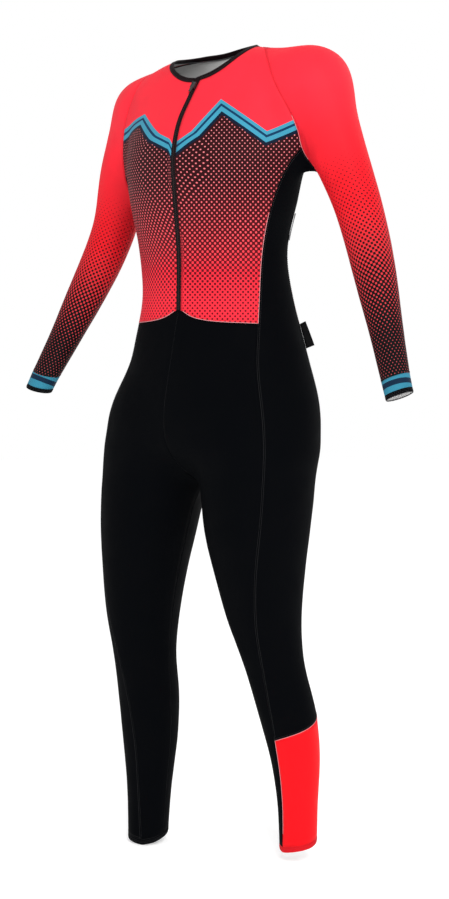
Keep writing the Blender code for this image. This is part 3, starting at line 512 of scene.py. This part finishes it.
def knit(name, paint, rough=0.62, sheen=0.12, depth=0.00016, specular=0.3, tint=(1, 1, 1, 1)):
    """Fine jersey: paint(tree, u, v) gives its colour."""
    material = bpy.data.materials.new(name)
    material.use_nodes = True
    tree = material.node_tree
    shader = tree.nodes["Principled BSDF"]
    place = tree.nodes.new("ShaderNodeUVMap")
    place.uv_map = "pattern"
    parts = tree.nodes.new("ShaderNodeSeparateXYZ")
    tree.links.new(place.outputs[0], parts.inputs[0])
    u = parts.outputs[0]
    v = parts.outputs[1]
    wale = number(tree, "FRACT", number(tree, "MULTIPLY", u, 1 / WALE))
    lean = number(tree, "ABSOLUTE", number(tree, "SUBTRACT", wale, 0.5))
    phase = number(tree, "MULTIPLY_ADD", v, 1 / COURSE, lean)
    loops = number(tree, "SINE", number(tree, "MULTIPLY", phase, 2 * math.pi))
    groove = number(tree, "COSINE", number(tree, "MULTIPLY", wale, 2 * math.pi))
    height = number(tree, "MULTIPLY_ADD", groove, -0.4, number(tree, "MULTIPLY", loops, 0.5))
    where = tree.nodes.new("ShaderNodeTexCoord")
    cloud = tree.nodes.new("ShaderNodeTexNoise")
    cloud.inputs["Scale"].default_value = 24.0
    cloud.inputs["Detail"].default_value = 3.0
    tree.links.new(where.outputs["Object"], cloud.inputs["Vector"])
    bump = tree.nodes.new("ShaderNodeBump")
    bump.inputs["Strength"].default_value = 0.35
    bump.inputs["Distance"].default_value = depth
    tree.links.new(height, bump.inputs["Height"])
    tree.links.new(bump.outputs[0], shader.inputs["Normal"])
    colour = paint(tree, u, v)
    worn = remap(tree, cloud.outputs[0], 0.3, 0.7, 0.94, 1.05)
    # The colour follows the knit's bump: lighter on the loops and darker in the hollows, painted light and
    # shade of the knit's relief; the cloud gives random tone
    thread = remap(tree, height, -0.9, 0.9, 0.92, 1.05)
    shade = number(tree, "MULTIPLY", worn, thread)
    scaled = tree.nodes.new("ShaderNodeVectorMath")
    scaled.operation = "SCALE"
    if isinstance(colour, tuple):
        scaled.inputs[0].default_value = colour[:3]
    else:
        tree.links.new(colour, scaled.inputs[0])
    tree.links.new(shade, scaled.inputs["Scale"])
    tree.links.new(scaled.outputs[0], shader.inputs["Base Color"])
    roughness = remap(tree, cloud.outputs[0], 0.3, 0.7, rough - 0.05, rough + 0.05)
    tree.links.new(roughness, shader.inputs["Roughness"])
    shader.inputs["Specular IOR Level"].default_value = specular
    shader.inputs["Sheen Weight"].default_value = sheen
    shader.inputs["Sheen Roughness"].default_value = 0.5
    shader.inputs["Sheen Tint"].default_value = tint
    return material


def plain(colour):
    return lambda tree, u, v: colour


def red_cloth(name, paint, rough=0.62):
    """Smooth knit with a faint red sheen."""
    return knit(name, paint, rough=rough, sheen=0.02, specular=0.10, tint=RED_SHEEN)


# Printed colours
def line_below(tree, u, v, start, end):
    """How far below a straight line a place lies."""
    run = Vector(end) - Vector(start)
    across = -run.y / run.length
    down = run.x / run.length
    rest = -(across * start[0] + down * start[1])
    return number(tree, "MULTIPLY_ADD", u, across, number(tree, "MULTIPLY_ADD", v, down, rest))


def front_paint(corners):
    """Red above a zigzag of blue bands, and dots below it that grow to the waist."""

    def paint(tree, u, v):
        below = [line_below(tree, u, v, a, b) for a, b in zip(corners, corners[1:])]
        last = below[-1]
        if len(below) == 3:
            last = number(tree, "MAXIMUM", below[1], below[2])
        depth = number(tree, "MINIMUM", below[0], last)
        bands = steps(tree, depth, -0.005, 0.025, (
            (-0.005, RED),
            (0.0, LIGHT_BLUE),
            (0.0056, NAVY),
            (0.0094, LIGHT_BLUE),
            (0.0164, DARK_NAVY),
        ))
        fall = remap(tree, v, 0.14, 0.410)
        share = number(tree, "MULTIPLY_ADD", number(tree, "MULTIPLY", fall, fall), 0.52, 0.138)
        light = blend_colour(tree, remap(tree, v, 0.16, 0.36), PINK, RED)
        dark = blend_colour(tree, remap(tree, v, 0.22, 0.40), MAROON, DARK_DOT)
        dots = blend_colour(tree, halftone(tree, u, v, share), dark, light)
        return blend_colour(tree, number(tree, "GREATER_THAN", depth, 0.0214), bands, dots)

    return paint


def back_paint(tree, u, v):
    share = remap(tree, v, 0.10, 0.42, 1.06, 0.12)
    dark = blend_colour(tree, remap(tree, v, 0.10, 0.40), DARK_DOT, MAROON)
    return blend_colour(tree, halftone(tree, u, v, share), dark, RED)


def sleeve_paint(first, last):
    def paint(tree, u, v):
        share = remap(tree, v, first, last, 1.04, 0.13)
        dark = blend_colour(tree, remap(tree, v, first, first + 0.6 * (last - first)), DARK_DOT, BLACK)
        # The sleeves' red turns darker below the shoulder: painted shade, with the lighter red kept on the
        # lit top of the arm
        upper = blend_colour(tree, remap(tree, v, first - 0.10, first + 0.06), RED, SHADED_ARM_RED)
        light = blend_colour(tree, remap(tree, v, first + 0.1, last + 0.05), upper, WRIST_DOT)
        return blend_colour(tree, halftone(tree, u, v, share), dark, light)

    return paint


def cuff_paint(side):
    start, end, bow = ARMS[side]
    top = (end - start).length - 0.030

    def paint(tree, u, v):
        return steps(tree, v, top - 0.002, top + 0.025, (
            (top - 0.002, CUFF_BLUE),
            (top + 0.0076, CUFF_NAVY),
            (top + 0.0160, CUFF_BLUE),
        ))

    return paint


def lacquer(name):
    """Black lacquered metal with fine scratches."""
    material = bpy.data.materials.new(name)
    material.use_nodes = True
    tree = material.node_tree
    shader = tree.nodes["Principled BSDF"]
    where = tree.nodes.new("ShaderNodeTexCoord")
    grain = tree.nodes.new("ShaderNodeTexNoise")
    grain.inputs["Scale"].default_value = 900.0
    tree.links.new(where.outputs["Object"], grain.inputs["Vector"])
    bump = tree.nodes.new("ShaderNodeBump")
    bump.inputs["Strength"].default_value = 0.2
    bump.inputs["Distance"].default_value = 0.00005
    tree.links.new(grain.outputs[0], bump.inputs["Height"])
    tree.links.new(bump.outputs[0], shader.inputs["Normal"])
    shade = remap(tree, grain.outputs[0], 0.35, 0.7)
    colour = blend_colour(tree, shade, LACQUER_DARK, LACQUER_LIGHT)
    tree.links.new(colour, shader.inputs["Base Color"])
    tree.links.new(remap(tree, grain.outputs[0], 0.3, 0.7, 0.22, 0.38), shader.inputs["Roughness"])
    shader.inputs["Metallic"].default_value = 0.4
    shader.inputs["Coat Weight"].default_value = 0.5
    shader.inputs["Coat Roughness"].default_value = 0.12
    return material


def thread_material(name, colour):
    """Twisted sewing thread."""
    material = bpy.data.materials.new(name)
    material.use_nodes = True
    tree = material.node_tree
    shader = tree.nodes["Principled BSDF"]
    where = tree.nodes.new("ShaderNodeTexCoord")
    twist = tree.nodes.new("ShaderNodeTexWave")
    twist.bands_direction = "DIAGONAL"
    twist.inputs["Scale"].default_value = 900.0
    tree.links.new(where.outputs["Object"], twist.inputs["Vector"])
    # Darker copy of the thread's colour in the low parts of its twist: painted shade in the twist's
    # hollows
    twist_shade = tuple(0.7 * c for c in colour[:3]) + (1,)
    tree.links.new(blend_colour(tree, twist.outputs["Fac"], twist_shade, colour), shader.inputs["Base Color"])
    bump = tree.nodes.new("ShaderNodeBump")
    bump.inputs["Strength"].default_value = 0.4
    bump.inputs["Distance"].default_value = 0.0001
    tree.links.new(twist.outputs["Fac"], bump.inputs["Height"])
    tree.links.new(bump.outputs[0], shader.inputs["Normal"])
    shader.inputs["Roughness"].default_value = 0.7
    return material


# Skins of all the walls, before their folds
skins = {}
for node in WALLS:
    skins[node] = smooth_object(node + "_cloth", cloth_skin(node), SUBDIVISIONS)
whole_suit = tree_of(skins.values())
fronts = tree_of([skins["front_left"], skins["front_right"]])

folds = []
for pixels, depth, width in SEEN_FOLDS:
    folds.append(([seen_at(whole_suit, *p) for p in pixels], depth, width))
for places, depth, width in HIDDEN_FOLDS:
    folds.append(([whole_suit.find_nearest(Vector(p))[0] for p in places], depth, width))

teeth_line = zip_line(240)
still = [np.array(p) for p, out in teeth_line[::4]]
for node in ("side_label", "reflective_tab"):
    low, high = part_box(node)
    still.extend(np.array(low.lerp(high, t)) for t in (0.1, 0.5, 0.9))
still.extend(np.array(v.co) for v in CAD["neck_binding"].data.vertices)
still = np.array(still)

for node, thing in skins.items():
    points = points_of(thing)
    out = normals_of(thing)
    push = np.array([uneven(Vector(p)) for p in points])
    for run, depth, width in folds:
        push += fold_push(points, run, depth, width)
    near = np.min(np.linalg.norm(points[:, None, :] - still[None, :, :], axis=2), axis=1)
    free = np.clip((near - STILL_REACH) / STILL_BLEND, 0, 1)
    push *= free * free * (3 - 2 * free)
    points += out * push[:, None]
    thing.data.vertices.foreach_set("co", points.ravel())
    thing.data.update()
    lay_pattern(thing, node)


# Materials
def corner(pixel):
    return pattern_place("front_left", seen_at(fronts, *pixel))


zigzag_left = [corner(p) for p in ((180, 139), (221, 99), (267, 131), (293, 120))]
zigzag_right = [corner(p) for p in ((130, 125), (145, 114), (170, 139))]

inner_knit = knit("inner_knit", plain(INSIDE), rough=0.75, sheen=0.15)
black_knit = knit("black_knit", plain(BLACK), rough=0.75, sheen=0.0, specular=0.03)
red_knit = red_cloth("red_knit", plain(ANKLE_RED), rough=0.6)
red_hem = red_cloth("red_hem_knit", plain(DEEP_RED))
LOOKS = {
    "front_left": red_cloth("front_left_print", front_paint(zigzag_left)),
    "front_right": red_cloth("front_right_print", front_paint(zigzag_right)),
    "back": red_cloth("back_print", back_paint),
    "sleeve_left": red_cloth("sleeve_left_print", sleeve_paint(0.120, 0.44)),
    "sleeve_right": red_cloth("sleeve_right_print", sleeve_paint(0.140, 0.42)),
    "cuff_left": knit("cuff_left_stripes", cuff_paint("left"), sheen=0.02, specular=0.12),
    "cuff_right": knit("cuff_right_stripes", cuff_paint("right"), sheen=0.02, specular=0.12),
    "ankle_panel_left": red_knit,
    "ankle_hem_left": red_hem,
}
binding_knit = knit("binding_knit", plain(ZIP_BLACK), rough=0.6, sheen=0.0, specular=0.1, depth=0.00022)
tape_weave = knit("zip_tape_weave", plain(ZIP_BLACK), rough=0.66, sheen=0.0, specular=0.08, depth=0.00025)
label_weave = knit("label_weave", plain(LABEL_BLACK), rough=0.6, sheen=0.0, specular=0.06, depth=0.0002)
film = knit("reflective_film", plain(REFLECTIVE), rough=0.6, sheen=0.0, depth=0.00008, specular=0.04)
black_lacquer = lacquer("black_lacquer")
coil_nylon = thread_material("coil_nylon", (0.010, 0.003, 0.005, 1))
seam_thread = thread_material("seam_thread", SEAM_GREY)
black_thread = thread_material("black_thread", (0.012, 0.012, 0.014, 1))
pale_thread = thread_material("pale_thread", (0.75, 0.30, 0.32, 1))
red_thread = thread_material("red_thread", (0.75, 0.02, 0.04, 1))

SLOTS = {node: "black_cloth" for node in WALLS + ("neck_binding",)}
for node in TORSO + SLEEVES + ("ankle_panel_left", "ankle_hem_left"):
    SLOTS[node] = "red_cloth"
for node in CUFFS:
    SLOTS[node] = "cuff_cloth"
SLOTS["zip_tape"] = "zip_tape"
SLOTS["side_label"] = "label_cloth"
SLOTS["reflective_tab"] = "reflective_tape"


# Sewing
def edge_runs(thing):
    """The open edges of a cloth as ordered loops of places, each with its way out and in."""
    mesh = bmesh.new()
    mesh.from_mesh(thing.data)
    mesh.normal_update()
    following = {}
    for edge in mesh.edges:
        if len(edge.link_loops) == 1:
            loop = edge.link_loops[0]
            following[loop.vert] = (loop.link_loop_next.vert, edge.link_faces[0])
    runs = []
    while following:
        first = next(iter(following))
        here = first
        run = []
        while here in following:
            after, face = following.pop(here)
            ahead = after.co - here.co
            if ahead.length > SAME_POINT:
                into = here.normal.cross(ahead).normalized()
                run.append((here.co.copy(), here.normal.copy(), into))
            here = after
        runs.append(run)
    mesh.free()
    return runs


def tube(mesh, places, radius, sides=6):
    """Adds rings of vertices round places to a bmesh."""
    rings = []
    for point, out, into in places:
        ring = []
        for k in range(sides):
            turn = 2 * math.pi * k / sides
            ring.append(mesh.verts.new(point + radius * (math.cos(turn) * out + math.sin(turn) * into)))
        rings.append(ring)
    return rings


def bead_object(name, runs, radius, sink, inset, material, closed=True):
    """A rolled thread along runs of a cloth's edge."""
    mesh = bmesh.new()
    for run in runs:
        if len(run) < 3:
            continue
        places = [(p - sink * out + inset * into, out, into) for p, out, into in run]
        rings = tube(mesh, places, radius)
        pairs = list(zip(rings, rings[1:]))
        if closed:
            pairs.append((rings[-1], rings[0]))
        for a, b in pairs:
            for k in range(len(a)):
                mesh.faces.new((a[k], a[k - 1], b[k - 1], b[k]))
        if not closed:
            mesh.faces.new(rings[0])
            mesh.faces.new(rings[-1][::-1])
    bmesh.ops.recalc_face_normals(mesh, faces=mesh.faces)
    data = bpy.data.meshes.new(name)
    mesh.to_mesh(data)
    mesh.free()
    for polygon in data.polygons:
        polygon.use_smooth = True
    data.materials.append(material)
    return mesh_object(name, data)


def evenly(run, pitch, closed):
    """Places at an even pitch along a run."""
    route = list(run) + ([run[0]] if closed else [])
    found = []
    due = pitch / 2
    for (a, out, into), (b, out_b, into_b) in zip(route, route[1:]):
        length = (b - a).length
        while due < length:
            t = due / length
            ahead = (b - a).normalized()
            out_here = out.lerp(out_b, t).normalized()
            into_here = into.lerp(into_b, t).normalized()
            found.append((a.lerp(b, t), out_here, into_here, ahead))
            due += pitch
        due -= length
    return found


def stitch_object(name, runs, inset, material, tree, closed=True, lift=0.00022, radius=0.00027):
    """A row of short stitches at an inset from a cloth's edge, each a small rounded bar."""
    mesh = bmesh.new()
    for run in runs:
        if len(run) < 3:
            continue
        for point, out, into, ahead in evenly(run, STITCH_PITCH, closed):
            seat, face_out = tree.find_nearest(point + inset * into)[:2]
            if seat is None:
                continue
            if face_out.dot(out) < 0:
                face_out = -face_out
            aside = face_out.cross(ahead).normalized()
            middle = seat + lift * face_out
            rings = []
            for t, share in ((-0.5, 0.35), (-0.32, 1.0), (0.32, 1.0), (0.5, 0.35)):
                ring = []
                for k in range(5):
                    turn = 2 * math.pi * k / 5
                    spot = share * radius * (math.cos(turn) * face_out + math.sin(turn) * aside)
                    ring.append(mesh.verts.new(middle + t * STITCH_LENGTH * ahead + spot))
                rings.append(ring)
            for a, b in zip(rings, rings[1:]):
                for k in range(5):
                    mesh.faces.new((a[k], a[k - 1], b[k - 1], b[k]))
            mesh.faces.new(rings[0])
            mesh.faces.new(rings[-1][::-1])
    bmesh.ops.recalc_face_normals(mesh, faces=mesh.faces)
    data = bpy.data.meshes.new(name)
    mesh.to_mesh(data)
    mesh.free()
    for polygon in data.polygons:
        polygon.use_smooth = True
    data.materials.append(material)
    return mesh_object(name, data)


def parts_of(run, keep):
    """The stretches of a closed run whose places pass a test."""
    flags = [keep(p) for p, out, into in run]
    if all(flags):
        return [run + run[:1]]
    start = flags.index(False)
    found = []
    current = []
    for i in range(len(run) + 1):
        j = (start + i) % len(run)
        if flags[j]:
            current.append(run[j])
        elif current:
            if len(current) > 3:
                found.append(current)
            current = []
    return found


def finish_piece(thing, node, extras=()):
    """Rides and replaces a cloth piece."""
    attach(thing, "suit")
    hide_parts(node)
    for extra in extras:
        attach(extra, "suit")


def above_wrist(place):
    return place.z > WRIST_LEVEL


def near_wrist(place):
    return place.z <= WRIST_LEVEL


extras = {node: [] for node in CUTS}
edges = {node: edge_runs(skins[node]) for node in WALLS}
trees = {node: tree_of([skins[node]]) for node in WALLS}
for node in WALLS:
    if node in SLEEVES:
        upper = [part for run in edges[node] for part in parts_of(run, above_wrist)]
        wrist = [part for run in edges[node] for part in parts_of(run, near_wrist)]
        extras[node].append(
            bead_object(node + "_seam", upper, BEAD, BEAD_SINK, 0.0, red_thread, closed=False)
        )
        extras[node].append(
            bead_object(node + "_wrist_seam", wrist, BEAD, BEAD_SINK, 0.0, black_thread, closed=False)
        )
        extras[node].append(
            stitch_object(node + "_stitches", upper, CLOTH_INSET, red_thread, trees[node], closed=False)
        )
        extras[node].append(
            stitch_object(node + "_wrist_stitches", wrist, 0.0024, black_thread, trees[node], closed=False)
        )
    else:
        colour = red_thread if SLOTS[node] == "red_cloth" else black_thread
        extras[node].append(bead_object(node + "_seam", edges[node], BEAD, BEAD_SINK, 0.0, colour))
    if node in TORSO + SLEEVES:
        extras[node].append(
            bead_object(node + "_inside_seam", edges[node], 0.0009, 0.0022, 0.0, seam_thread)
        )

# Light edging of the front panels, the armhole and the ankle panel
zip_middle = [point for point, out in teeth_line]


def is_lower_edge(place):
    nearest = min((place - point).length for point in zip_middle)
    return place.z < -0.27 and nearest > 0.008


for node in ("front_left", "front_right"):
    hem = [part for run in edges[node] for part in parts_of(run, is_lower_edge)]
    edging = bead_object(
        node + "_edging", hem, 0.00055, EDGING_SINK, EDGING_INSET, pale_thread, closed=False
    )
    extras[node].append(edging)
    extras[node].append(
        stitch_object(node + "_stitches", hem, 0.0030, red_thread, trees[node], closed=False)
    )
armhole = [
    part
    for run in edges["sleeve_left"]
    for part in parts_of(run, lambda p: p.y < -0.02 and p.x > 0.12 and -0.26 < p.z < -0.12)
]
extras["sleeve_left"].append(
    bead_object(
        "sleeve_left_edging", armhole, 0.0005, EDGING_SINK, EDGING_INSET, pale_thread, closed=False
    )
)
shin = [
    part
    for run in edges["ankle_panel_left"]
    for part in parts_of(run, lambda p: p.z > -1.30)
]
extras["ankle_panel_left"].append(
    bead_object(
        "ankle_panel_left_edging", shin, 0.0005, EDGING_SINK, EDGING_INSET, pale_thread, closed=False
    )
)
extras["ankle_panel_left"].append(
    stitch_object(
        "ankle_panel_left_stitches", shin, 0.0028, red_thread, trees["ankle_panel_left"], closed=False
    )
)

# Stitch rows along the hems and seams
for node, inset, thread in (
    ("ankle_hem_left", 0.0030, red_thread),
    ("ankle_hem_right", 0.0030, black_thread),
    ("cuff_hem_left", 0.0022, black_thread),
    ("cuff_hem_right", 0.0022, black_thread),
    ("side_left", CLOTH_INSET, black_thread),
    ("side_right", CLOTH_INSET, black_thread),
    ("back", CLOTH_INSET, red_thread),
):
    extras[node].append(stitch_object(node + "_stitches", edges[node], inset, thread, trees[node]))

for node in WALLS:
    thing = skins[node]
    thing.data.materials.append(LOOKS.get(node, black_knit))
    thing.data.materials.append(inner_knit)
    thick = thing.modifiers.new("thickness", "SOLIDIFY")
    thick.thickness = CLOTH
    thick.offset = -1
    thick.material_offset = 1
    thick.material_offset_rim = 0
    thick.use_even_offset = False

# Neck binding, zip tape, label and tab follow their solids
binding = smooth_object("neck_binding_roll", whole_solid("neck_binding"), 2, math.radians(60), 0.8)
tape = smooth_object("zip_tape_weave_piece", whole_solid("zip_tape"), 1, math.radians(30), 1.0)
label = smooth_object("side_label_fold", whole_solid("side_label"), 1, math.radians(30), 1.0)
tab = smooth_object("reflective_tab_film", whole_solid("reflective_tab"), 1, math.radians(30), 1.0)
for thing, node, material in (
    (binding, "neck_binding", binding_knit),
    (tape, "zip_tape", tape_weave),
    (label, "side_label", label_weave),
    (tab, "reflective_tab", film),
):
    thing.data.materials.append(material)
    lay_pattern(thing, node)


# Zip coil: two rows of small loops that meet in the middle
def coil_object(name, line, material):
    mesh = bmesh.new()
    for i, (point, out) in enumerate(line):
        other = line[min(i + 1, len(line) - 1)][0]
        previous = line[max(i - 1, 0)][0]
        ahead = (other - previous).normalized()
        aside = out.cross(ahead).normalized()
        side = 1 if i % 2 else -1
        middle = point + 0.00025 * out + side * 0.00055 * aside
        made = bmesh.ops.create_cube(mesh, size=1)["verts"]
        for vertex in made:
            x, y, z = vertex.co
            vertex.co = middle + x * 0.0024 * aside + y * 0.00095 * ahead + z * 0.0007 * out
    bmesh.ops.bevel(
        mesh, geom=list(mesh.edges), offset=0.00022, segments=1, profile=0.6, affect="EDGES"
    )
    data = bpy.data.meshes.new(name)
    mesh.to_mesh(data)
    mesh.free()
    for polygon in data.polygons:
        polygon.use_smooth = True
    data.materials.append(material)
    return mesh_object(name, data)


SLIDER_GAP = 0.0005
slider_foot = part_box("zip_slider")[0].z
below_slider = [pair for pair in teeth_line if pair[0].z < slider_foot - SLIDER_GAP]
coil = coil_object("zip_coil", below_slider, coil_nylon)
extras["zip_tape"].append(coil)

tape_tree = tree_of([tape])
sides = []
for sign in (-1, 1):
    run = []
    for i, (point, out) in enumerate(below_slider[::4]):
        other = below_slider[min(4 * i + 4, len(below_slider) - 1)][0]
        ahead = other - point
        if ahead.length < SAME_PLACE:
            continue
        run.append((point, out, sign * out.cross(ahead).normalized()))
    sides.append(run)
extras["zip_tape"].append(
    stitch_object("zip_tape_stitches", sides, 0.0033, black_thread, tape_tree, closed=False)
)

# Stitches along the neck binding's lower edge
binding_tree = tree_of([binding])
neck_runs = []


def is_at_binding(place):
    near_neck = math.hypot(place.x, place.y) < 0.10 and place.z > -0.075
    return near_neck and binding_tree.find_nearest(place)[3] < 0.004


for node in TORSO[:2] + SLEEVES + TORSO[2:]:
    for run in edges[node]:
        neck_runs.extend(parts_of(run, is_at_binding))
extras["neck_binding"].append(
    stitch_object("neck_binding_stitches", neck_runs, -0.0022, black_thread, binding_tree, closed=False)
)

for node in WALLS:
    finish_piece(skins[node], node, extras[node])
finish_piece(binding, "neck_binding", extras["neck_binding"])
finish_piece(tape, "zip_tape", extras["zip_tape"])
finish_piece(label, "side_label")
finish_piece(tab, "reflective_tab")

# Slider and pull keep their own shapes, with rounded edges
for node in ("zip_slider", "zip_pull"):
    thing = CAD[node]
    thing.data.materials.clear()
    thing.data.materials.append(black_lacquer)
    edge = thing.modifiers.new("rounded", "BEVEL")
    edge.width = 0.00025
    edge.segments = 2
    edge.limit_method = "ANGLE"
    edge.angle_limit = math.radians(35)

# Floor, light and camera
floor_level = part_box("ankle_hem_left")[0].z
floor_level = min(floor_level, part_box("ankle_hem_right")[0].z) - 0.001
disc = bmesh.new()
bmesh.ops.create_circle(disc, cap_ends=True, segments=96, radius=9.0)
floor_mesh = bpy.data.meshes.new("floor")
disc.to_mesh(floor_mesh)
disc.free()
floor = mesh_object("floor", floor_mesh)
floor.location = (0, 0, floor_level)
floor_paint = bpy.data.materials.new("floor_paint")
floor_paint.use_nodes = True
floor_shader = floor_paint.node_tree.nodes["Principled BSDF"]
floor_shader.inputs["Base Color"].default_value = (0.985, 0.985, 0.985, 1)
floor_shader.inputs["Roughness"].default_value = 0.9
floor_shader.inputs["Emission Color"].default_value = (1, 1, 1, 1)
floor_shader.inputs["Emission Strength"].default_value = 0.30
floor_shader.inputs["Specular IOR Level"].default_value = 0.1
floor_mesh.materials.append(floor_paint)


def soft_light(name, place, target, size, power):
    lamp = bpy.data.lights.new(name, "AREA")
    lamp.size = size
    lamp.energy = power
    thing = bpy.data.objects.new(name, lamp)
    bpy.context.scene.collection.objects.link(thing)
    thing.location = place
    thing.rotation_euler = (Vector(target) - Vector(place)).to_track_quat("-Z", "Y").to_euler()
    return thing


soft_light("key_light", (2.6, -2.2, 1.3), (0.0, 0.0, -0.35), 1.6, 85)
soft_light("fill_light", (-2.6, -2.6, 0.6), (0.0, 0.0, -0.5), 2.2, 8)
soft_light("back_light", (0.5, 3.0, 1.6), (0.0, 0.0, -0.5), 2.0, 14)

bpy.context.scene.view_settings.view_transform = "Standard"
world = bpy.data.worlds.new("studio")
bpy.context.scene.world = world
world.use_nodes = True
world_tree = world.node_tree
background = world_tree.nodes["Background"]
background.inputs[0].default_value = (1, 1, 1, 1)
rays = world_tree.nodes.new("ShaderNodeLightPath")
strength = remap(world_tree, rays.outputs["Is Camera Ray"], 0.0, 1.0, 0.72, 1.0)
world_tree.links.new(strength, background.inputs[1])

camera_data = bpy.data.cameras.new("camera")
camera_data.sensor_fit = "VERTICAL"
camera_data.sensor_height = SENSOR
camera_data.lens = LENS
camera = bpy.data.objects.new("camera", camera_data)
bpy.context.scene.collection.objects.link(camera)
camera.location = EYE
camera.rotation_euler = (-TO_EYE).to_track_quat("-Z", "Y").to_euler()
bpy.context.scene.camera = camera
